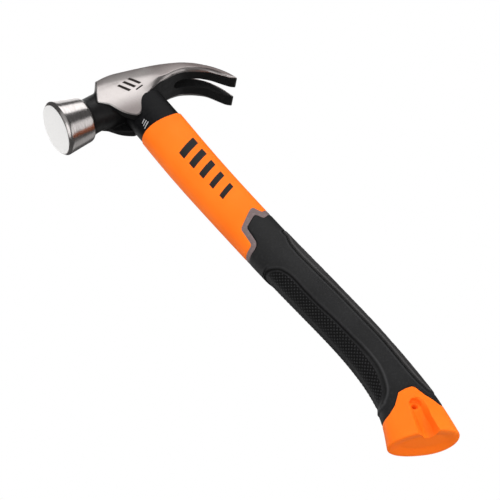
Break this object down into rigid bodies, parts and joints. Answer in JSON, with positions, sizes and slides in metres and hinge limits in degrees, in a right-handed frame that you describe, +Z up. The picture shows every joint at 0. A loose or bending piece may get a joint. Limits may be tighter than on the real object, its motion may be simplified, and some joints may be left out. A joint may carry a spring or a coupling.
{
  "type": "claw hammer",
  "caption": "Curved-claw hammer with polished forged head, fibreglass-cored orange handle, black textured grip and flared butt with a lanyard hole.",
  "frame": {"origin": "on the floor level of the butt, under the middle of the head's length, in the hammer's mid plane", "axes": "+Z up the handle to the head, -X is the way the striking face points, +X the way the claws point, Y through the thickness"},
  "size_m": [0.1312, 0.0378, 0.343],
  "materials": {
    "head_steel": "belt-ground face, bell, cheeks and claws; black enamel on neck and underside",
    "fibreglass": "pultruded glass rod",
    "resin": "cast epoxy, black",
    "collar_black": "satin black moulding",
    "jacket_orange": "satin moulded polypropylene",
    "band_grey": "matt grey rubber",
    "grip_black": "matt black soft rubber, textured panels",
    "strip_black": "rough black rubber"
  },
  "bodies": {
    "root": {"hammer_head": "head_steel", "core_rod": "fibreglass", "eye_resin": "resin", "neck_collar": "collar_black", "jacket": "jacket_orange", "accent_band": "band_grey", "grip": "grip_black", "palm_strip": "strip_black"}
  },
  "joints": []
}
